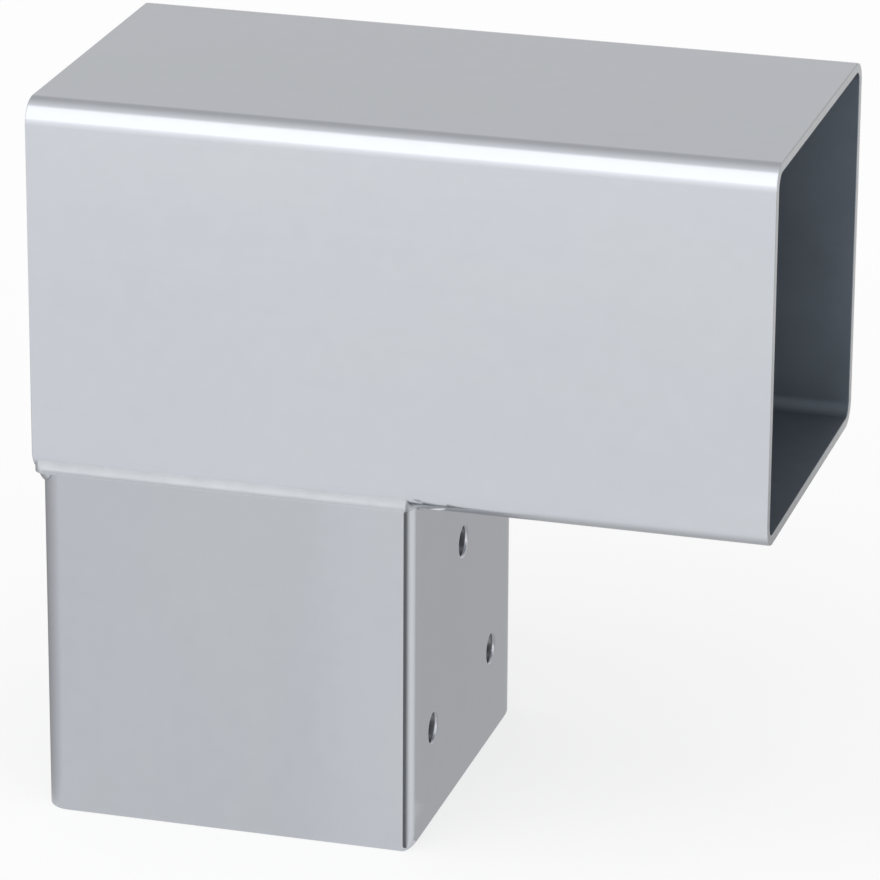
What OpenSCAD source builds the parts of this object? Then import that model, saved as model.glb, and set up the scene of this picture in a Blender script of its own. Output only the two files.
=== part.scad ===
// Pergola corner bracket
// A square beam sleeve with a square post sleeve welded under one end of it.
// X runs along the beam, -Y is the front and +Z is up. The origin is on the
// ground plane of the post sleeve's lower rim, under the middle of the beam.

/* [Timber] */
// Side of the square post and beam that the bracket joins
timber_w = 90; // [60:1:150]
// Play between the timber and the inside of a sleeve, both sides together
timber_gap = 1; // [0:0.25:4]

/* [Sleeves] */
// Thickness of the steel
wall = 2.5; // [1.5:0.25:3.5]
// Outer radius of the bends along the edges of both sleeves
bend_r = 6; // [4.5:0.5:10]
// Length of the beam sleeve
beam_len = 186; // [170:1:320]
// Length of the post sleeve under the beam sleeve
post_len = 90; // [70:1:200]
// Step from the end of the beam sleeve to the outer face of the post sleeve
end_step = 1.5; // [0.5:0.25:3]

/* [Screw holes] */
// Diameter of the screw holes
hole_d = 7.5; // [4:0.5:12]
// From a rim or the inner corner to the nearest hole's centre
hole_edge = 25; // [15:1:30]
// Distance between the two holes beside a rim
hole_spread = 54; // [20:1:60]

/* [Welds] */
// Height of the upright foot of the front and rear welds
weld_foot = 1.2; // [0.6:0.1:1.6]
// Height at which the front and rear welds run out on the bend
weld_rise = 3.6; // [2.4:0.1:4]
// Height of the weld down the outer face of the post sleeve
end_weld_leg = 3; // [1.5:0.25:6]
// Leg of the weld in the inner corner
inner_weld_leg = 2; // [1:0.25:5]

/* [Hidden] */
// Segments of a round hole or bend
round_fn = 64;
// Overlap of a cutting solid past the face that it cuts
cut = 1;
// Part of the bend's radius over which the front and rear welds reach inwards
weld_reach = 0.8;
// Part of the bend's radius to which the end weld climbs at its corners
weld_climb = 0.4;

inner_w = timber_w + timber_gap;
outer_w = inner_w + 2 * wall;
half_w = outer_w / 2;
inner_r = bend_r - wall;
flat_w = outer_w - 2 * bend_r;

beam_x0 = -beam_len / 2;
beam_x1 = beam_len / 2;
beam_z = post_len + half_w;
post_x0 = beam_x0 + end_step;
post_x1 = post_x0 + outer_w;
post_x = post_x0 + half_w;

// Depth of the bend behind the sleeve's face at height z over its underside
function bend_depth(z) = bend_r - sqrt(bend_r * bend_r - (bend_r - z) * (bend_r - z));

steel = [0.72, 0.74, 0.77];
weld_grey = [0.80, 0.81, 0.83];

// A square section with round corners
module section(w, r) {
    square([w - 2 * r, w], center = true);
    square([w, w - 2 * r], center = true);
    for (sx = [-1, 1], sy = [-1, 1])
        translate([sx * (w / 2 - r), sy * (w / 2 - r)])
            circle(r = r, $fn = round_fn);
}

// A solid bar along the beam, longer than the sleeve by over at both ends
module beam_bar(w, r, over) {
    translate([beam_x0 - over, 0, beam_z])
        rotate([90, 0, 90])
            linear_extrude(beam_len + 2 * over)
                section(w, r);
}

// A solid bar upright in the post's place, from height z0 to z1
module post_bar(w, r, z0, z1) {
    translate([post_x, 0, z0])
        linear_extrude(z1 - z0)
            section(w, r);
}

// Three screw holes in a triangle, cut down through the XY plane. The single
// hole is near the inner corner at x = 0, the pair is near the rim at x = reach.
module screw_holes(reach) {
    for (p = [[hole_edge, 0],
              [reach - hole_edge, -hole_spread / 2],
              [reach - hole_edge, hole_spread / 2]])
        translate([p[0], p[1], -cut])
            cylinder(d = hole_d, h = wall + 2 * cut, $fn = round_fn);
}

// Horizontal square tube, open at both ends, with its screw holes underneath
module beam_sleeve() {
    color(steel)
        difference() {
            beam_bar(outer_w, bend_r, 0);
            beam_bar(inner_w, inner_r, cut);
            translate([post_x1, 0, post_len])
                screw_holes(beam_x1 - post_x1);
        }
}

// Upright square tube, open below, with its screw holes towards the beam
module post_sleeve() {
    color(steel)
        difference() {
            post_bar(outer_w, bend_r, 0, post_len);
            post_bar(inner_w, inner_r, -cut, post_len + cut);
            translate([post_x1, 0, post_len])
                rotate([0, 90, 0])
                    translate([0, 0, -wall])
                        screw_holes(post_len);
        }
}

// Weld that fills the groove between the rim of the post sleeve and the bend
// of the beam sleeve over it, dressed nearly flush with the front face
module groove_weld() {
    top = weld_rise + cut;
    lean = bend_depth(weld_rise) / (weld_rise - weld_foot);
    color(weld_grey)
        difference() {
            intersection() {
                post_bar(outer_w, bend_r, post_len, post_len + top);
                translate([beam_x0, -half_w, post_len])
                    rotate([90, 0, 90])
                        linear_extrude(beam_len)
                            polygon([[0, 0],
                                     [0, weld_foot],
                                     [lean * (top - weld_foot), top],
                                     [weld_reach * bend_r, top],
                                     [weld_reach * bend_r, 0]]);
            }
            post_bar(inner_w, inner_r, post_len - cut, post_len + top + cut);
            beam_bar(outer_w, bend_r, cut);
        }
}

module front_weld() {
    groove_weld();
}

module rear_weld() {
    mirror([0, 1, 0])
        groove_weld();
}

// Section of the end weld: x runs out from the post sleeve's face and y is up
// from its rim
module end_weld_section() {
    polygon([[0, -end_weld_leg],
             [end_step, 0],
             [end_step, weld_climb * bend_r],
             [0, weld_climb * bend_r]]);
}

// Weld under the end of the beam sleeve, with a corner at both of its ends
module end_weld() {
    color(weld_grey)
        difference() {
            union() {
                translate([post_x0, flat_w / 2, post_len])
                    rotate([90, 0, 0])
                        linear_extrude(flat_w)
                            mirror([1, 0])
                                end_weld_section();
                intersection() {
                    for (side = [-1, 1])
                        translate([post_x0 + bend_r, side * flat_w / 2, post_len])
                            rotate([0, 0, side < 0 ? 180 : 90])
                                rotate_extrude(angle = 90, $fn = round_fn)
                                    translate([bend_r, 0])
                                        end_weld_section();
                    translate([beam_x0 - cut, -half_w, 0])
                        cube([outer_w, outer_w, post_len + outer_w]);
                }
            }
            beam_bar(outer_w, bend_r, cut);
        }
}

// Fillet in the inner corner, between the two flat faces
module inner_weld() {
    color(weld_grey)
        translate([post_x1, flat_w / 2, post_len])
            rotate([90, 0, 0])
                linear_extrude(flat_w)
                    polygon([[0, 0], [0, -inner_weld_leg], [inner_weld_leg, 0]]);
}

beam_sleeve();
post_sleeve();
front_weld();
rear_weld();
end_weld();
inner_weld();
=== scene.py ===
import math

import bmesh
import bpy
from bpy.props import (FloatProperty, FloatVectorProperty, IntProperty,
                       PointerProperty)
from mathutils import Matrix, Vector


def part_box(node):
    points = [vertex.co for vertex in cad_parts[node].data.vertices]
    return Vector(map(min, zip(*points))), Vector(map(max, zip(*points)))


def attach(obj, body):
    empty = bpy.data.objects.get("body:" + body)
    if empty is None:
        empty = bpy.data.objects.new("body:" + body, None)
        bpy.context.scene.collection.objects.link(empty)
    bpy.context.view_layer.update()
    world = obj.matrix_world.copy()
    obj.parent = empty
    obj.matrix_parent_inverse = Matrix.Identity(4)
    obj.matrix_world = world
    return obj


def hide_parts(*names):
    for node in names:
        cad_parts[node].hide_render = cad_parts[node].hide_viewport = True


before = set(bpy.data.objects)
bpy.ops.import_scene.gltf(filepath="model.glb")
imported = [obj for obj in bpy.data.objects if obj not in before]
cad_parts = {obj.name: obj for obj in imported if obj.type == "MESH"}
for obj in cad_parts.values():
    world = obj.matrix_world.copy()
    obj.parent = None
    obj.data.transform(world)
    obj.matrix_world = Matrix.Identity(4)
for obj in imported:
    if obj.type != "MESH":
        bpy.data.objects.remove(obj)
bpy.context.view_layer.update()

bl_info = {
    "name": "Pergola Corner Bracket",
    "version": (1, 0, 0),
    "blender": (4, 5, 0),
    "location": "View3D > Sidebar > Bracket",
    "description": "Models a welded steel corner bracket for a pergola",
    "category": "Add Mesh",
}

BEAM_LOW, BEAM_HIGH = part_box("beam_sleeve")
POST_LOW, POST_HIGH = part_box("post_sleeve")
BODY = "root"


# Sizes and colours

class SleeveSizes(bpy.types.PropertyGroup):
    wall: FloatProperty(
        name="Wall", description="Thickness of the steel",
        default=0.0025, min=0.001, subtype="DISTANCE", unit="LENGTH")
    bend: FloatProperty(
        name="Bend radius", description="Outer radius of the long bends",
        default=0.006, min=0.003, subtype="DISTANCE", unit="LENGTH")
    bend_across: FloatProperty(
        name="Bend width in front",
        description="Width that the post sleeve's sharper bends take off its front",
        default=0.002, min=0.001, subtype="DISTANCE", unit="LENGTH")
    bend_back: FloatProperty(
        name="Bend depth at the side",
        description="Depth that the post sleeve's sharper bends take off its side",
        default=0.0068, min=0.001, subtype="DISTANCE", unit="LENGTH")
    bend_steps: IntProperty(
        name="Bend steps", description="Faces across each bend",
        default=20, min=4, max=32)
    edge_round: FloatProperty(
        name="Edge rounding", description="Deburring of the cut edges",
        default=0.0003, min=0.0001, subtype="DISTANCE", unit="LENGTH")
    melt: FloatProperty(
        name="Melt", description="How far the post sleeve's rim reaches into its welds",
        default=0.0006, min=0, subtype="DISTANCE", unit="LENGTH")


class HoleSizes(bpy.types.PropertyGroup):
    diameter: FloatProperty(
        name="Diameter", description="Diameter of the screw holes",
        default=0.0075, min=0.003, subtype="DISTANCE", unit="LENGTH")
    edge: FloatProperty(
        name="Edge distance",
        description="From the inner corner or a rim to the nearest hole",
        default=0.025, min=0.01, subtype="DISTANCE", unit="LENGTH")
    spread: FloatProperty(
        name="Spread", description="Distance between the two holes at a rim",
        default=0.054, min=0.02, subtype="DISTANCE", unit="LENGTH")
    rim: FloatProperty(
        name="Rim rounding", description="Rolled edge round a punched hole",
        default=0.0008, min=0.0002, subtype="DISTANCE", unit="LENGTH")


class WeldSizes(bpy.types.PropertyGroup):
    foot: FloatProperty(
        name="Foot", description="Upright part of the dressed welds",
        default=0.0012, min=0.0004, subtype="DISTANCE", unit="LENGTH")
    rise: FloatProperty(
        name="Rise", description="Height at which the dressed welds run out",
        default=0.0036, min=0.001, subtype="DISTANCE", unit="LENGTH")
    reach: FloatProperty(
        name="Reach", description="Depth of the dressed welds",
        default=0.0045, min=0.001, subtype="DISTANCE", unit="LENGTH")
    recess: FloatProperty(
        name="Recess", description="Depth of the dressed welds behind the face",
        default=0.00002, min=0, subtype="DISTANCE", unit="LENGTH")
    lift: FloatProperty(
        name="Lift", description="Gap between the rim and the dressed welds",
        default=0.0002, min=0, subtype="DISTANCE", unit="LENGTH")
    sink: FloatProperty(
        name="Sink", description="How far the dressed welds reach into the beam sleeve",
        default=0.0004, min=0.0001, subtype="DISTANCE", unit="LENGTH")
    hollow: FloatProperty(
        name="Hollow", description="How much the dressed welds sag between their edges",
        default=0.35, min=0, max=1, subtype="FACTOR")
    end_round: FloatProperty(
        name="End rounding", description="Corner of the dressed welds at the end",
        default=0.003, min=0.001, subtype="DISTANCE", unit="LENGTH")
    bead_round: FloatProperty(
        name="End bead corner", description="Radius in which the end bead turns",
        default=0.0056, min=0.001, subtype="DISTANCE", unit="LENGTH")
    bead_out: FloatProperty(
        name="End bead width", description="How far the end bead stands out",
        default=0.00145, min=0.0005, subtype="DISTANCE", unit="LENGTH")
    bead_down: FloatProperty(
        name="End bead height", description="Half the height of the end bead",
        default=0.0026, min=0.0005, subtype="DISTANCE", unit="LENGTH")
    bead_full: FloatProperty(
        name="End bead fullness", description="1 is a flat fillet, 2 is a round one",
        default=1.25, min=1, max=2, subtype="FACTOR")
    bead_turn: FloatProperty(
        name="End bead turn", description="How far the end bead runs round its corners",
        default=math.radians(66), min=0, subtype="ANGLE", unit="ROTATION")
    inner_bead: FloatProperty(
        name="Inner bead", description="Radius of the bead in the inner corner",
        default=0.0019, min=0.0005, subtype="DISTANCE", unit="LENGTH")
    ripple: FloatProperty(
        name="Ripple pitch", description="Distance between the bead's ripples",
        default=0.0014, min=0.0005, subtype="DISTANCE", unit="LENGTH")


class FinishColours(bpy.types.PropertyGroup):
    steel: FloatVectorProperty(
        name="Steel", description="Satin steel of the sleeves",
        default=(0.588, 0.605, 0.66), size=3, min=0, max=1, subtype="COLOR")
    steel_patch: FloatVectorProperty(
        name="Steel patches", description="Second tone of the satin steel",
        default=(0.578, 0.604, 0.63), size=3, min=0, max=1, subtype="COLOR")
    inside: FloatVectorProperty(
        name="Inside", description="Dull steel inside the sleeves",
        default=(0.235, 0.272, 0.318), size=3, min=0, max=1, subtype="COLOR")
    cut: FloatVectorProperty(
        name="Cut edges", description="Sawn ends and hole walls",
        default=(0.47, 0.48, 0.49), size=3, min=0, max=1, subtype="COLOR")
    weld: FloatVectorProperty(
        name="Welds", description="Dressed weld metal",
        default=(0.535, 0.555, 0.585), size=3, min=0, max=1, subtype="COLOR")
    # Painted light: the post sleeve's right part is made lighter over this width and
    # blend, standing in for the brighter light that it reflects.
    painted_light_edge: FloatProperty(
        name="Paler edge", description="Width of the post sleeve's paler right part",
        default=0.033, min=0, subtype="DISTANCE", unit="LENGTH")
    painted_light_blend: FloatProperty(
        name="Paler blend", description="Width over which the steel turns paler",
        default=0.022, min=0.001, subtype="DISTANCE", unit="LENGTH")
    floor: FloatVectorProperty(
        name="Floor", description="Pale studio floor",
        default=(0.98, 0.98, 0.98), size=3, min=0, max=1, subtype="COLOR")


class StageSettings(bpy.types.PropertyGroup):
    camera_place: FloatVectorProperty(
        name="Camera place", description="Where the camera stands",
        default=(0.3517, -1.24455, 0.57238), size=3, subtype="TRANSLATION", unit="LENGTH")
    camera_turn: FloatVectorProperty(
        name="Camera turn", description="Rotation of the camera",
        default=(math.radians(69.612), math.radians(-0.314), math.radians(15.976)),
        size=3, subtype="EULER", unit="ROTATION")
    lens: FloatProperty(
        name="Lens", description="Focal length in millimetres",
        default=225.24, min=10, max=600, unit="CAMERA")
    key: FloatProperty(
        name="Key light", description="Strength of the large front light",
        default=0.5, min=0)
    key_size: FloatProperty(
        name="Key size", description="Angle that the front light fills",
        default=math.radians(62), subtype="ANGLE", unit="ROTATION")
    room: FloatProperty(
        name="Room light", description="Strength of the light all round",
        default=1.2, min=0)
    floor_white: FloatProperty(
        name="Floor white", description="Share of plain white in the floor that is seen",
        default=0.7, min=0, max=1, subtype="FACTOR")
    card_reach: FloatProperty(
        name="Card reach", description="Radius of the cards beside the post sleeve",
        default=0.34, min=0.05, subtype="DISTANCE", unit="LENGTH")


# Modelling helpers

def only(obj):
    """Object mode, with this object alone selected and active."""
    if bpy.context.object and bpy.context.object.mode != "OBJECT":
        bpy.ops.object.mode_set(mode="OBJECT")
    bpy.ops.object.select_all(action="DESELECT")
    if obj:
        obj.select_set(True)
        bpy.context.view_layer.objects.active = obj


def settle(obj, name):
    """Names a new object and moves its place into its mesh."""
    obj.name = name
    obj.data.name = name
    only(obj)
    bpy.ops.object.transform_apply(location=True, rotation=True, scale=True)
    return obj


def pick(obj, kind, test):
    """Edit mode, with the vertices, edges or faces that pass the test selected."""
    only(obj)
    bpy.ops.object.mode_set(mode="EDIT")
    bpy.ops.mesh.select_mode(type=kind)
    bpy.ops.mesh.select_all(action="DESELECT")
    mesh = bmesh.from_edit_mesh(obj.data)
    parts = {"VERT": mesh.verts, "EDGE": mesh.edges, "FACE": mesh.faces}[kind]
    chosen = [part for part in parts if test(part)]
    for part in chosen:
        part.select_set(True)
    bmesh.update_edit_mesh(obj.data)
    if not chosen:
        raise RuntimeError(f"nothing to shape on {obj.name}")


def back_to_object():
    bpy.ops.object.mode_set(mode="OBJECT")


def apply_modifier(obj, kind, **settings):
    """Adds a modifier with these settings and applies it."""
    only(obj)
    bpy.ops.object.modifier_add(type=kind)
    modifier = obj.modifiers[-1]
    for key, value in settings.items():
        setattr(modifier, key, value)
    bpy.ops.object.modifier_apply(modifier=modifier.name)


def combine(obj, other, operation):
    """Joins, cuts or crosses obj with another solid."""
    apply_modifier(obj, "BOOLEAN", operation=operation, object=other,
                   solver="EXACT", material_mode="TRANSFER")


def remove(obj):
    only(obj)
    bpy.ops.object.delete()


def start_box(name, low, high):
    only(None)
    middle = [(a + b) / 2 for a, b in zip(low, high)]
    size = [b - a for a, b in zip(low, high)]
    bpy.ops.mesh.primitive_cube_add(size=1, location=middle, scale=size)
    return settle(bpy.context.object, name)


def extent(obj, axis):
    """The lowest and highest place of a piece along an axis."""
    places = [v.co[axis] for v in obj.data.vertices]
    return min(places), max(places)


def along(edge, axis):
    """Whether an edge runs along this axis."""
    step = edge.verts[1].co - edge.verts[0].co
    return abs(step[axis]) > 0.9 * step.length


def round_edges(obj, radius, steps, test):
    """Rounds the edges that pass the test."""
    pick(obj, "EDGE", test)
    bpy.ops.mesh.bevel(offset_type="OFFSET", offset=radius, segments=steps,
                       profile=0.5, affect="EDGES", clamp_overlap=False)
    back_to_object()


def round_bar(name, low, high, axis, radius, steps):
    """A bar with its four long edges rounded."""
    bar = start_box(name, low, high)
    round_edges(bar, radius, steps, lambda edge: along(edge, axis))
    return bar


def sharpen_bends(bar, sizes):
    """Squeezes an upright bar's two right-hand bends into sharper ones."""
    x, near = POST_HIGH.x, 1.01 * sizes.bend
    value = (sizes.bend_across / sizes.bend, sizes.bend_back / sizes.bend, 1)
    for y in (POST_LOW.y, POST_HIGH.y):
        pick(bar, "VERT",
             lambda v: abs(v.co.x - x) < near and abs(v.co.y - y) < near)
        bpy.ops.transform.resize(value=value, center_override=(x, y, 0))
        back_to_object()


def smooth_edges(obj):
    """Smooth bends, with the flat faces kept flat."""
    only(obj)
    bpy.ops.object.shade_smooth_by_angle(angle=math.radians(40))
    apply_modifier(obj, "WEIGHTED_NORMAL", mode="FACE_AREA", weight=60,
                   keep_sharp=True)


def give_materials(obj, *materials):
    obj.data.materials.clear()
    for material in materials:
        obj.data.materials.append(material)


def finish_piece(obj, node):
    """The piece stands for its CAD node and rides on the bracket's body."""
    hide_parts(node)
    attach(obj, BODY)


# Materials

class Nodes:
    """Short calls for building one node tree."""

    def __init__(self, tree):
        self.tree = tree
        tree.nodes.clear()

    def add(self, kind, inputs=None, **settings):
        node = self.tree.nodes.new(kind)
        for key, value in settings.items():
            setattr(node, key, value)
        for key, value in (inputs or {}).items():
            if isinstance(value, bpy.types.NodeSocket):
                self.tree.links.new(value, node.inputs[key])
            else:
                node.inputs[key].default_value = value
        return node

    def math(self, operation, *values):
        node = self.add("ShaderNodeMath", operation=operation)
        for socket, value in zip(node.inputs, values):
            if isinstance(value, bpy.types.NodeSocket):
                self.tree.links.new(value, socket)
            else:
                socket.default_value = value
        return node.outputs[0]

    def spread(self, value, low, high):
        """Maps a 0 to 1 value onto the range low to high."""
        node = self.add("ShaderNodeMapRange", inputs={"Value": value})
        node.inputs["To Min"].default_value = low
        node.inputs["To Max"].default_value = high
        return node.outputs[0]

    def mix(self, factor, first, second):
        node = self.add("ShaderNodeMix", data_type="RGBA")
        for socket, value in zip((node.inputs[0], node.inputs[6], node.inputs[7]),
                                 (factor, first, second)):
            if isinstance(value, bpy.types.NodeSocket):
                self.tree.links.new(value, socket)
            elif isinstance(value, float):
                socket.default_value = value
            else:
                socket.default_value = (*value, 1)
        return node.outputs[2]

    def ramp(self, value, stops):
        """A grey for each place from 0 to 1."""
        node = self.add("ShaderNodeValToRGB", inputs={0: value})
        elements = node.color_ramp.elements
        while len(elements) < len(stops):
            elements.new(0.5)
        for element, (position, grey) in zip(elements, stops):
            element.position = position
            element.color = (grey, grey, grey, 1)
        return node.outputs[0]

    def noise(self, place, scale, detail=2.0, stretch=None):
        """Noise with its grain in millimetres, drawn out along an axis."""
        if stretch:
            mapping = self.add("ShaderNodeMapping",
                               inputs={"Vector": place, "Scale": stretch})
            place = mapping.outputs[0]
        node = self.add("ShaderNodeTexNoise", inputs={
            "Vector": place, "Scale": 1000 / scale, "Detail": detail})
        return node.outputs["Fac"]

    def bump(self, height, distance, strength=1.0, normal=None):
        inputs = {"Height": height, "Distance": distance, "Strength": strength}
        if normal:
            inputs["Normal"] = normal
        return self.add("ShaderNodeBump", inputs=inputs).outputs[0]


def new_material(name):
    material = bpy.data.materials.new(name)
    material.use_nodes = True
    return material, Nodes(material.node_tree)


def finish_material(nodes, **inputs):
    shader = nodes.add("ShaderNodeBsdfPrincipled", inputs=inputs)
    output = nodes.add("ShaderNodeOutputMaterial")
    nodes.tree.links.new(shader.outputs[0], output.inputs[0])
    return shader


def satin_steel(name, colours, grain, shade, paler_by_painted_light=False):
    """Satin rolled steel: soft patches, a fine rolled grain and slight waves.

    On the post sleeve the right part is made a little lighter: painted light, standing in
    for the brighter light that it reflects there. The shade value darkens the steel: on
    the post sleeve, painted shade for the less light that it gets.
    """
    material, nodes = new_material(name)
    place = nodes.add("ShaderNodeTexCoord").outputs["Object"]
    bands = [0.35 if g < 1 else 1.0 for g in grain]
    cloud = nodes.noise(place, 30, 3.0, stretch=bands)
    speck = nodes.noise(place, 5, 2.0)
    lines = nodes.noise(place, 0.9, 3.0, stretch=grain)
    waves = nodes.noise(place, 46, 1.0)
    tint = nodes.mix(nodes.spread(cloud, -0.2, 1.2), colours.steel,
                     colours.steel_patch)
    # Painted shade: the shade value darkens the whole steel. On the post sleeve it stands
    # in for the less light that its faces get. The cloud, speck and lines add random
    # tone.
    level = nodes.math("ADD", nodes.spread(cloud, shade - 0.03, shade + 0.03),
                       nodes.spread(speck, -0.02, 0.02))
    level = nodes.math("ADD", level, nodes.spread(lines, -0.008, 0.008))
    # Painted light: lightens the post sleeve's right part, standing in for the brighter
    # light that it reflects there.
    if paler_by_painted_light:
        painted_light_start = POST_HIGH.x - colours.painted_light_edge
        parts = nodes.add("ShaderNodeSeparateXYZ", inputs={0: place}).outputs
        painted_light_band = nodes.add("ShaderNodeMapRange", interpolation_type="SMOOTHSTEP",
                         inputs={"Value": parts[0], "From Min": painted_light_start,
                                 "From Max": painted_light_start + colours.painted_light_blend,
                                 "To Max": 0.06})
        level = nodes.math("ADD", level, painted_light_band.outputs[0])
    colour = nodes.add("ShaderNodeVectorMath", operation="SCALE",
                       inputs={0: tint, "Scale": level}).outputs[0]
    rough = nodes.math("ADD", nodes.spread(cloud, 0.18, 0.24),
                       nodes.spread(lines, -0.02, 0.02))
    normal = nodes.bump(waves, 0.0004, 0.5)
    normal = nodes.bump(lines, 0.000002, 0.3, normal)
    finish_material(nodes, **{
        "Base Color": colour, "Metallic": 1.0, "Roughness": rough,
        "Normal": normal})
    return material


def dull_inside(name, tone):
    """Steel inside a sleeve, dull and a darker blue grey than the outside."""
    material, nodes = new_material(name)
    place = nodes.add("ShaderNodeTexCoord").outputs["Object"]
    cloud = nodes.noise(place, 26, 4.0)
    speck = nodes.noise(place, 2.4, 3.0)
    dark = [0.7 * c for c in tone]
    colour = nodes.mix(nodes.spread(cloud, -0.3, 1.3), tone, dark)
    rough = nodes.math("ADD", nodes.spread(cloud, 0.52, 0.64),
                       nodes.spread(speck, -0.05, 0.05))
    finish_material(nodes, **{
        "Base Color": colour, "Metallic": 1.0, "Roughness": rough,
        "Normal": nodes.bump(speck, 0.00002, 0.5)})
    return material


def cut_steel(name, tone):
    """Sawn and deburred edge with fine cutting marks."""
    material, nodes = new_material(name)
    place = nodes.add("ShaderNodeTexCoord").outputs["Object"]
    marks = nodes.noise(place, 0.5, 2.0, stretch=(1.0, 0.25, 1.0))
    cloud = nodes.noise(place, 9, 2.0)
    dark = [0.72 * c for c in tone]
    colour = nodes.mix(nodes.spread(marks, 0.0, 1.0), tone, dark)
    rough = nodes.spread(cloud, 0.34, 0.46)
    finish_material(nodes, **{
        "Base Color": colour, "Metallic": 1.0, "Roughness": rough,
        "Normal": nodes.bump(marks, 0.00004, 0.5)})
    return material


def dressed_weld(name, tone):
    """Weld metal, lightly ground, a little paler than the sleeves."""
    material, nodes = new_material(name)
    place = nodes.add("ShaderNodeTexCoord").outputs["Object"]
    cloud = nodes.noise(place, 7, 3.0)
    marks = nodes.noise(place, 0.6, 2.0, stretch=(0.12, 1.0, 1.0))
    dark = [0.84 * c for c in tone]
    colour = nodes.mix(nodes.spread(cloud, -0.2, 1.2), tone, dark)
    rough = nodes.math("ADD", nodes.spread(cloud, 0.28, 0.40),
                       nodes.spread(marks, -0.05, 0.05))
    normal = nodes.bump(cloud, 0.00015, 0.5)
    normal = nodes.bump(marks, 0.00001, 0.5, normal)
    finish_material(nodes, **{
        "Base Color": colour, "Metallic": 1.0, "Roughness": rough,
        "Normal": normal})
    return material


def steel_set(scene, name, grain, shade, paler_by_painted_light=False):
    """Outside, inside and cut edge of one sleeve."""
    colours = scene.bracket_colours
    return (
        satin_steel(f"{name} satin steel", colours, grain, shade, paler_by_painted_light),
        dull_inside(f"{name} dull inside", colours.inside),
        cut_steel(f"{name} cut edge", colours.cut))


def weld_material(scene):
    name = "dressed weld"
    return bpy.data.materials.get(name) or dressed_weld(name, scene.bracket_colours.weld)


# Pieces

def make_sleeve(tube, inside, axis, places, hole_axis, materials, sizes, holes):
    """Opens a bar into a square tube and gives it its screw holes.

    The materials are those of its outside, its inside and its cut edges.
    """
    give_materials(tube, *materials)
    pick(tube, "FACE", lambda face: abs(face.normal[axis]) > 0.9)
    tube.active_material_index = 2
    bpy.ops.object.material_slot_assign()
    back_to_object()
    give_materials(inside, materials[1])
    face = extent(tube, hole_axis)[1 if hole_axis == 0 else 0]
    combine(tube, inside, "DIFFERENCE")
    remove(inside)
    only(None)
    turn = (0, math.pi / 2, 0) if hole_axis == 0 else (0, 0, 0)
    bpy.ops.mesh.primitive_cylinder_add(
        vertices=48, radius=holes.diameter / 2, depth=3 * sizes.wall, rotation=turn)
    punch = settle(bpy.context.object, "hole_punch")
    give_materials(punch, materials[2])
    for place in places:
        punch.location = place
        combine(tube, punch, "DIFFERENCE")
    remove(punch)
    round_rims(tube, places, hole_axis, face, holes)
    apply_modifier(tube, "BEVEL", width=sizes.edge_round, segments=3,
                   limit_method="ANGLE", angle_limit=math.radians(50),
                   use_clamp_overlap=False, material=-1)
    smooth_edges(tube)
    return tube


def inner_bar(name, low, high, axis, sizes):
    """The room inside a sleeve, longer than the sleeve at both ends."""
    wall = Vector((sizes.wall,) * 3)
    low, high = low + wall, high - wall
    low[axis] -= 3 * sizes.wall
    high[axis] += 3 * sizes.wall
    return round_bar(name, low, high, axis, sizes.bend - sizes.wall, sizes.bend_steps)


def round_rims(tube, places, axis, face, holes):
    """Rolls the outer rim of each punched hole."""
    def on_rim(point):
        if abs(point[axis] - face) > 1e-5:
            return False
        for place in places:
            gap = Vector(place) - point
            gap[axis] = 0
            if abs(gap.length - holes.diameter / 2) < 1e-5:
                return True
        return False

    pick(tube, "EDGE", lambda edge: all(on_rim(v.co) for v in edge.verts))
    bpy.ops.mesh.bevel(offset_type="OFFSET", offset=holes.rim, segments=4,
                       profile=0.5, affect="EDGES", clamp_overlap=False, material=0)
    back_to_object()


class BRACKET_OT_beam_sleeve(bpy.types.Operator):
    """Add the horizontal sleeve that takes the end of the beam"""
    bl_idname = "bracket.beam_sleeve"
    bl_label = "Beam Sleeve"
    bl_options = {"REGISTER", "UNDO"}

    def execute(self, context):
        scene = context.scene
        holes = scene.bracket_holes
        z = BEAM_LOW.z + scene.bracket_sleeve.wall / 2
        x0, x1 = POST_HIGH.x + holes.edge, BEAM_HIGH.x - holes.edge
        places = [(x0, 0, z), (x1, -holes.spread / 2, z), (x1, holes.spread / 2, z)]
        sizes = scene.bracket_sleeve
        bar = round_bar("beam_sleeve_shell", BEAM_LOW, BEAM_HIGH, 0, sizes.bend,
                        sizes.bend_steps)
        inside = inner_bar("beam_room", BEAM_LOW, BEAM_HIGH, 0, sizes)
        sleeve = make_sleeve(bar, inside, 0, places, 2,
                             steel_set(scene, "beam", (0.02, 1.0, 1.0), 1.0),
                             sizes, holes)
        finish_piece(sleeve, "beam_sleeve")
        return {"FINISHED"}


class BRACKET_OT_post_sleeve(bpy.types.Operator):
    """Add the upright sleeve that slides over the post"""
    bl_idname = "bracket.post_sleeve"
    bl_label = "Post Sleeve"
    bl_options = {"REGISTER", "UNDO"}

    def execute(self, context):
        scene = context.scene
        holes = scene.bracket_holes
        x = POST_HIGH.x - scene.bracket_sleeve.wall / 2
        z0, z1 = POST_LOW.z + holes.edge, POST_HIGH.z - holes.edge
        places = [(x, 0, z1), (x, -holes.spread / 2, z0), (x, holes.spread / 2, z0)]
        sizes = scene.bracket_sleeve
        top = POST_HIGH + Vector((0, 0, sizes.melt))
        bar = round_bar("post_sleeve_shell", POST_LOW, top, 2, sizes.bend,
                        sizes.bend_steps)
        sharpen_bends(bar, sizes)
        inside = inner_bar("post_room", POST_LOW, top, 2, sizes)
        # Painted shade and painted light: the post sleeve's steel is darkened to 0.835
        # and its right part lightened, standing in for how light falls on it.
        sleeve = make_sleeve(bar, inside, 2, places, 0,
                             steel_set(scene, "post", (1.0, 1.0, 0.02), 0.835,
                                       paler_by_painted_light=True),
                             sizes, holes)
        finish_piece(sleeve, "post_sleeve")
        return {"FINISHED"}


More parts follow.
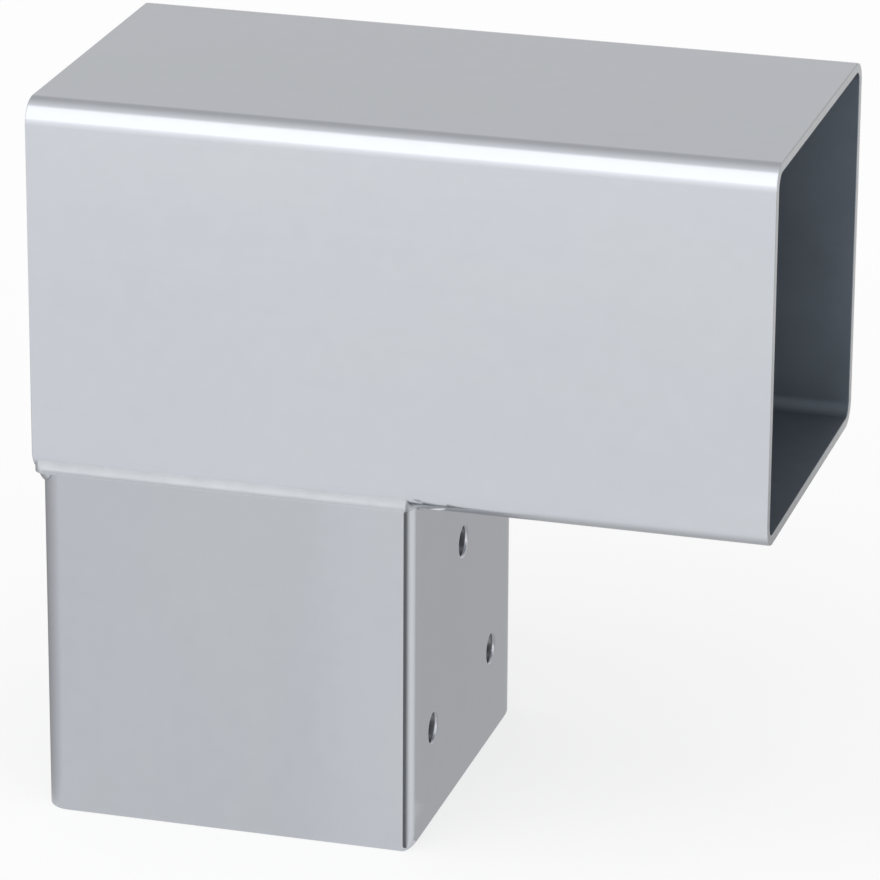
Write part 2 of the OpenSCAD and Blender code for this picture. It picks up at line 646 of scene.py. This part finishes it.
class BRACKET_OT_dressed_welds(bpy.types.Operator):
    """Add the ground welds in the grooves at the front and the rear"""
    bl_idname = "bracket.dressed_welds"
    bl_label = "Dressed Welds"
    bl_options = {"REGISTER", "UNDO"}

    def execute(self, context):
        scene = context.scene
        weld, sleeve = scene.bracket_weld, scene.bracket_sleeve
        for side, node in ((-1, "front_weld"), (1, "rear_weld")):
            self.make(scene, weld, sleeve, side, node)
        return {"FINISHED"}

    def make(self, scene, weld, sleeve, side, node):
        strip = self.strip(weld, sleeve, side, node)
        plan = self.plan(weld, sleeve)
        combine(strip, plan, "INTERSECT")
        remove(plan)
        sink = Vector((-0.01, weld.sink, weld.sink))
        beam = round_bar("beam_core", BEAM_LOW + sink, BEAM_HIGH - sink, 0,
                         sleeve.bend - weld.sink, sleeve.bend_steps)
        combine(strip, beam, "DIFFERENCE")
        remove(beam)
        give_materials(strip, weld_material(scene),
                       bpy.data.materials["post satin steel"])
        foot = POST_HIGH.z + weld.foot
        pick(strip, "FACE", lambda f: max(v.co.z for v in f.verts) < foot + 1e-4)
        strip.active_material_index = 1
        bpy.ops.object.material_slot_assign()
        back_to_object()
        smooth_edges(strip)
        finish_piece(strip, node)

    def strip(self, weld, sleeve, side, node):
        """The weld's section, drawn out along the beam."""
        base = POST_HIGH.z
        top, foot = base + weld.rise, base + weld.foot
        face = POST_HIGH.y * side - side * weld.recess
        back = POST_HIGH.y * side - side * weld.reach
        strip = start_box(f"{node}_run",
                          (BEAM_LOW.x, min(face, back), base + weld.lift),
                          (POST_HIGH.x, max(face, back), top))
        pick(strip, "EDGE", lambda edge: along(edge, 2))
        bpy.ops.mesh.subdivide(number_cuts=8)
        back_to_object()
        depth = sleeve.bend - math.sqrt(
            sleeve.bend ** 2 - (sleeve.bend - weld.rise) ** 2)
        for v in strip.data.vertices:
            if abs(v.co.y - face) < 1e-5 and v.co.z > foot:
                rise = (v.co.z - foot) / (top - foot)
                v.co.y -= side * depth * rise * (1 + weld.hollow * (1 - rise))
        return strip

    def plan(self, weld, sleeve):
        """The outline of the joint as seen from above, as a block."""
        plan = start_box("weld_plan", (BEAM_LOW.x, POST_LOW.y, POST_HIGH.z - 0.01),
                         (POST_HIGH.x, POST_HIGH.y, POST_HIGH.z + 0.02))
        for end, radius in ((BEAM_LOW.x, weld.end_round), (POST_HIGH.x, sleeve.bend)):
            round_edges(plan, radius, sleeve.bend_steps,
                        lambda edge: along(edge, 2)
                        and abs(edge.verts[0].co.x - end) < 1e-5)
        sharpen_bends(plan, sleeve)
        return plan


def bead(name, length, out, down, pitch, steps, full=2.0):
    """A rippled bead along X, its ripples modelled once and repeated.

    It stands out by out and down by down, and its ends run out.
    """
    swell, crest, tip = 1.06, 1.05, 0.15
    only(None)
    bpy.ops.mesh.primitive_cylinder_add(
        vertices=steps, radius=1, depth=pitch, end_fill_type="NOTHING",
        rotation=(0, math.pi / 2, 0))
    run = settle(bpy.context.object, name)
    pick(run, "EDGE", lambda edge: along(edge, 0))
    bpy.ops.mesh.subdivide(number_cuts=3)
    back_to_object()
    for share, size in ((0.4, swell), (0.1, crest)):
        pick(run, "VERT", lambda v: abs(v.co.x) < pitch * share)
        bpy.ops.transform.resize(value=(1, size, size), center_override=(0, 0, 0))
        back_to_object()
    tallest = swell * crest
    for v in run.data.vertices:
        size = math.hypot(v.co.y, v.co.z)
        flat = (abs(v.co.y / size) ** full + abs(v.co.z / size) ** full) ** (-1 / full)
        v.co.y *= flat * out / tallest
        v.co.z *= flat * down / tallest
    apply_modifier(run, "ARRAY", count=max(2, round(length / pitch)),
                   use_merge_vertices=True, merge_threshold=1e-5)
    pick(run, "EDGE", lambda edge: edge.is_boundary)
    bpy.ops.mesh.edge_face_add()
    back_to_object()
    low, high = extent(run, 0)
    for v in run.data.vertices:
        near_end = min(v.co.x - low, high - v.co.x) / (2 * down)
        if near_end < 1:
            share = tip + (1 - tip) * math.sqrt(1 - (1 - near_end) ** 2)
            v.co.y *= share
            v.co.z *= share
    run.location = (-(low + high) / 2, 0, 0)
    return settle(run, name), high - low


class BRACKET_OT_inner_weld(bpy.types.Operator):
    """Add the bead in the inner corner, under the beam sleeve"""
    bl_idname = "bracket.inner_weld"
    bl_label = "Inner Weld"
    bl_options = {"REGISTER", "UNDO"}

    def execute(self, context):
        scene = context.scene
        weld = scene.bracket_weld
        low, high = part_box("inner_weld")
        run, length = bead("inner_weld_run", high.y - low.y, weld.inner_bead,
                           weld.inner_bead, weld.ripple, 20)
        run.scale = ((high.y - low.y) / length, 1, 1)
        run.rotation_euler = (0, 0, math.pi / 2)
        run.location = (POST_HIGH.x, 0, POST_HIGH.z)
        settle(run, run.name)
        give_materials(run, weld_material(scene))
        only(run)
        bpy.ops.object.shade_smooth_by_angle(angle=math.radians(60))
        finish_piece(run, "inner_weld")
        return {"FINISHED"}


class BRACKET_OT_end_weld(bpy.types.Operator):
    """Add the bead under the end of the beam sleeve"""
    bl_idname = "bracket.end_weld"
    bl_label = "End Weld"
    bl_options = {"REGISTER", "UNDO"}

    def execute(self, context):
        scene = context.scene
        weld = scene.bracket_weld
        bend = weld.bead_round
        straight = POST_HIGH.y - bend
        corner = Vector((POST_LOW.x + bend, straight, POST_HIGH.z))
        turn, cuts, steps = weld.bead_turn, 18, 24
        arc = [(corner.x - bend * math.cos(turn * i / cuts),
                corner.y + bend * math.sin(turn * i / cuts))
               for i in range(cuts + 1)]
        line = [(arc[0][0], straight * (2 * i / steps - 1)) for i in range(1, steps)]
        path = [(x, -y) for x, y in reversed(arc)] + line + arc
        length = sum(math.dist(a, b) for a, b in zip(path, path[1:]))
        run, made = bead("end_weld_run", length, weld.bead_out, weld.bead_down,
                         weld.ripple, 20, weld.bead_full)
        curve = bpy.data.curves.new("end_weld_path", "CURVE")
        curve.dimensions = "3D"
        spline = curve.splines.new("POLY")
        spline.points.add(len(path) - 1)
        curve.use_radius = True
        for point, (x, y) in zip(spline.points, path):
            point.co = (x, y, POST_HIGH.z, 1)
            point.radius = self.thinning(abs(y) - straight, bend, weld.bead_out)
        guide = bpy.data.objects.new("end_weld_path", curve)
        scene.collection.objects.link(guide)
        run.location = (made / 2, 0, 0)
        run.scale = (0.999 * length / made, 1, 1)
        settle(run, run.name)
        apply_modifier(run, "CURVE", object=guide, deform_axis="POS_X")
        remove(guide)
        give_materials(run, weld_material(scene))
        only(run)
        bpy.ops.object.shade_smooth_by_angle(angle=math.radians(60))
        finish_piece(run, "end_weld")
        return {"FINISHED"}

    def thinning(self, side, bend, out):
        """The bead's share of its full size where it goes round the corner."""
        if side <= 0:
            return 1.0
        room = bend * bend / side - bend
        return min(1.0, max(0.1, room / out))


# Stage

class BRACKET_OT_stage(bpy.types.Operator):
    """Add the floor, the studio light and the camera"""
    bl_idname = "bracket.stage"
    bl_label = "Stage"
    bl_options = {"REGISTER", "UNDO"}

    def execute(self, context):
        scene = context.scene
        stage = scene.bracket_stage
        self.floor(scene)
        self.room(scene, stage)
        self.lamps(scene, stage)
        self.cards(scene)
        self.camera(scene, stage)
        scene.view_settings.view_transform = "Standard"
        return {"FINISHED"}

    def floor(self, scene):
        only(None)
        bpy.ops.mesh.primitive_plane_add(size=12)
        floor = settle(bpy.context.object, "studio_floor")
        material, nodes = new_material("pale floor")
        shader = nodes.add("ShaderNodeBsdfPrincipled", inputs={
            "Base Color": (*scene.bracket_colours.floor, 1), "Roughness": 0.9,
            "Specular IOR Level": 0.0})
        white = nodes.add("ShaderNodeEmission", inputs={"Color": (1, 1, 1, 1)})
        ray = nodes.add("ShaderNodeLightPath").outputs
        seen = nodes.math("MAXIMUM", ray["Is Camera Ray"], ray["Is Glossy Ray"])
        seen = nodes.math("MAXIMUM", seen, ray["Is Transmission Ray"])
        share = nodes.math("MULTIPLY", seen, scene.bracket_stage.floor_white)
        both = nodes.add("ShaderNodeMixShader", inputs={
            0: share, 1: shader.outputs[0], 2: white.outputs[0]})
        output = nodes.add("ShaderNodeOutputMaterial")
        nodes.tree.links.new(both.outputs[0], output.inputs[0])
        give_materials(floor, material)

    def room(self, scene, stage):
        """Soft light from all round, darker high up at the back."""
        world = bpy.data.worlds.new("studio room")
        world.use_nodes = True
        scene.world = world
        nodes = Nodes(world.node_tree)
        place = nodes.add("ShaderNodeTexCoord").outputs["Generated"]
        parts = nodes.add("ShaderNodeSeparateXYZ", inputs={0: place}).outputs
        front = nodes.math("MULTIPLY", parts[1], -1.0)
        angle = nodes.math("ARCTAN2", parts[2], front)
        turn = nodes.math("DIVIDE", angle, math.pi)
        stops = ((0.0, 1.06), (0.05, 1.16), (0.11, 0.9), (0.42, 0.86),
                 (0.66, 0.50), (0.79, 0.46), (0.85, 0.58), (1.0, 0.60))
        light = nodes.add("ShaderNodeBackground", inputs={
            "Color": nodes.ramp(turn, stops), "Strength": stage.room})
        output = nodes.add("ShaderNodeOutputWorld")
        nodes.tree.links.new(light.outputs[0], output.inputs[0])

    def lamps(self, scene, stage):
        only(None)
        bpy.ops.object.light_add(type="SUN", location=(-0.6, -1.2, 1.2),
                                 rotation=(math.radians(48), 0, math.radians(-22)))
        key = bpy.context.object
        key.name = "front_light"
        key.data.energy = stage.key
        key.data.angle = stage.key_size

    def cards(self, scene):
        """Cards by the steel, which show only as reflections in it."""
        bend = scene.bracket_sleeve.bend
        left = Vector((POST_LOW.x + bend, POST_LOW.y + bend, 0.0004))
        right = Vector((POST_HIGH.x - bend, POST_LOW.y + bend, 0.0004))
        crease = Vector((POST_HIGH.x - 0.0012, POST_LOW.y + 0.0008, 0.0008))
        reach = scene.bracket_stage.card_reach
        # Painted reflection: greys that darken the post sleeve's left bend towards its
        # edge.
        self.sector("left_painted_reflection_card", left, reach, 0,
                    ((-176, 0.30), (-130, 0.40), (-95, 0.60), (-60, 0.80), (-36, 0.96)))
        # Painted shadow: a grey standing in for the floor's shade behind the post sleeve,
        # seen in its right face.
        self.sector("right_painted_shadow_card", right, reach, 0, ((92, 0.56), (179, 0.56)))
        # Painted reflection: a dark wall close round the post sleeve's right front bend,
        # for the dark line in it.
        self.sector("crease_painted_reflection_card", crease, 0.003, POST_HIGH.z - 0.0015,
                    ((4, 0.19), (92, 0.17)))
        # Painted reflection: the dark line on that bend and the light strip beside it.
        self.sector("bend_painted_reflection_card", crease, 0.0088, POST_HIGH.z - 0.0026,
                    ((76, 0.15), (84, 0.15), (112, 0.5), (130, 1.0), (146, 1.05),
                     (157, 0.8)))
        # Painted shadow: the floor's shade under the beam sleeve, seen in its lower bend.
        self.strip("under_card", (POST_HIGH.x + 0.005, BEAM_HIGH.x + 0.04),
                   ((0.02, 0.66), (0.045, 0.72), (0.06, 0.82), (0.1, 1.0)))
        # Painted light: a floor brighter than white far in front, seen in the soft lower
        # edge of the beam sleeve's top highlight.
        self.strip("front_card", (-2.5, 2.5),
                   ((0.5, 1.0), (0.8, 1.12), (2.8, 1.25), (3.5, 1.27)))

    def sector(self, name, place, radius, height, tones):
        """A round sector on the floor, with a wall on its rim if it has a height.

        tones gives its grey at each direction round its place in degrees, where
        0 is the front and 90 is the right.
        """
        only(None)
        bpy.ops.mesh.primitive_circle_add(vertices=180, radius=radius,
                                          fill_type="TRIFAN")
        card = settle(bpy.context.object, name)

        def outside(face):
            x, y, _ = face.calc_center_median()
            return not tones[0][0] < math.degrees(math.atan2(x, -y)) < tones[-1][0]

        pick(card, "FACE", outside)
        bpy.ops.mesh.delete(type="FACE")
        back_to_object()
        if height:
            pick(card, "EDGE", lambda edge: all(
                v.co.length > 0.9 * radius for v in edge.verts))
            bpy.ops.mesh.extrude_region_move(
                TRANSFORM_OT_translate={"value": (0, 0, height)})
            back_to_object()
        card.location = place
        settle(card, name)

        def measure(nodes, point):
            gap = nodes.add("ShaderNodeVectorMath", operation="SUBTRACT",
                            inputs={0: point, 1: place}).outputs[0]
            parts = nodes.add("ShaderNodeSeparateXYZ", inputs={0: gap}).outputs
            front = nodes.math("MULTIPLY", parts[1], -1.0)
            return nodes.math("DEGREES", nodes.math("ARCTAN2", parts[0], front))

        self.finish_card(card, measure, tones)

    def strip(self, name, across, tones):
        """A strip on the floor, with its grey at each distance to the front."""
        only(None)
        near, far = tones[0][0], tones[-1][0]
        bpy.ops.mesh.primitive_plane_add(
            size=1, location=(sum(across) / 2, -(near + far) / 2, 0.0006))
        card = bpy.context.object
        card.scale = (across[1] - across[0], far - near, 1)
        settle(card, name)

        def measure(nodes, point):
            parts = nodes.add("ShaderNodeSeparateXYZ", inputs={0: point}).outputs
            return nodes.math("MULTIPLY", parts[1], -1.0)

        self.finish_card(card, measure, tones)

    def finish_card(self, card, measure, tones):
        """Gives a card its greys and leaves it out of all but reflections."""
        material, nodes = new_material(card.name)
        point = nodes.add("ShaderNodeTexCoord").outputs["Object"]
        low, high = tones[0][0], tones[-1][0]
        share = nodes.add("ShaderNodeMapRange", inputs={
            "Value": measure(nodes, point), "From Min": low, "From Max": high})
        stops = [((place - low) / (high - low), grey) for place, grey in tones]
        glow = nodes.add("ShaderNodeEmission", inputs={
            "Color": nodes.ramp(share.outputs[0], stops)})
        output = nodes.add("ShaderNodeOutputMaterial")
        nodes.tree.links.new(glow.outputs[0], output.inputs[0])
        give_materials(card, material)
        card.visible_camera = False
        card.visible_diffuse = False
        card.visible_shadow = False
        card.visible_transmission = False

    def camera(self, scene, stage):
        only(None)
        bpy.ops.object.camera_add(location=stage.camera_place,
                                  rotation=stage.camera_turn)
        camera = bpy.context.object
        camera.name = "camera"
        camera.data.sensor_width = 36
        camera.data.lens = stage.lens
        camera.data.clip_start = 0.05
        camera.data.clip_end = 50
        scene.camera = camera


class BRACKET_PT_panel(bpy.types.Panel):
    """The bracket's pieces and its stage"""
    bl_idname = "BRACKET_PT_panel"
    bl_label = "Corner Bracket"
    bl_space_type = "VIEW_3D"
    bl_region_type = "UI"
    bl_category = "Bracket"

    def draw(self, context):
        scene = context.scene
        for settings in (scene.bracket_sleeve, scene.bracket_holes,
                         scene.bracket_weld, scene.bracket_colours,
                         scene.bracket_stage):
            box = self.layout.box()
            for key in settings.__annotations__:
                box.prop(settings, key)
        for step in STEPS:
            self.layout.operator(step.bl_idname)


STEPS = (BRACKET_OT_beam_sleeve, BRACKET_OT_post_sleeve,
         BRACKET_OT_dressed_welds, BRACKET_OT_end_weld,
         BRACKET_OT_inner_weld, BRACKET_OT_stage)
GROUPS = {"bracket_sleeve": SleeveSizes, "bracket_holes": HoleSizes,
          "bracket_weld": WeldSizes, "bracket_colours": FinishColours,
          "bracket_stage": StageSettings}


def register():
    for cls in (*GROUPS.values(), *STEPS, BRACKET_PT_panel):
        bpy.utils.register_class(cls)
    for name, cls in GROUPS.items():
        setattr(bpy.types.Scene, name, PointerProperty(type=cls))


def unregister():
    for name in GROUPS:
        delattr(bpy.types.Scene, name)
    for cls in reversed((*GROUPS.values(), *STEPS, BRACKET_PT_panel)):
        bpy.utils.unregister_class(cls)


def main():
    register()
    bpy.ops.bracket.beam_sleeve()
    bpy.ops.bracket.post_sleeve()
    bpy.ops.bracket.dressed_welds()
    bpy.ops.bracket.end_weld()
    bpy.ops.bracket.inner_weld()
    bpy.ops.bracket.stage()


if __name__ == "__main__":
    main()
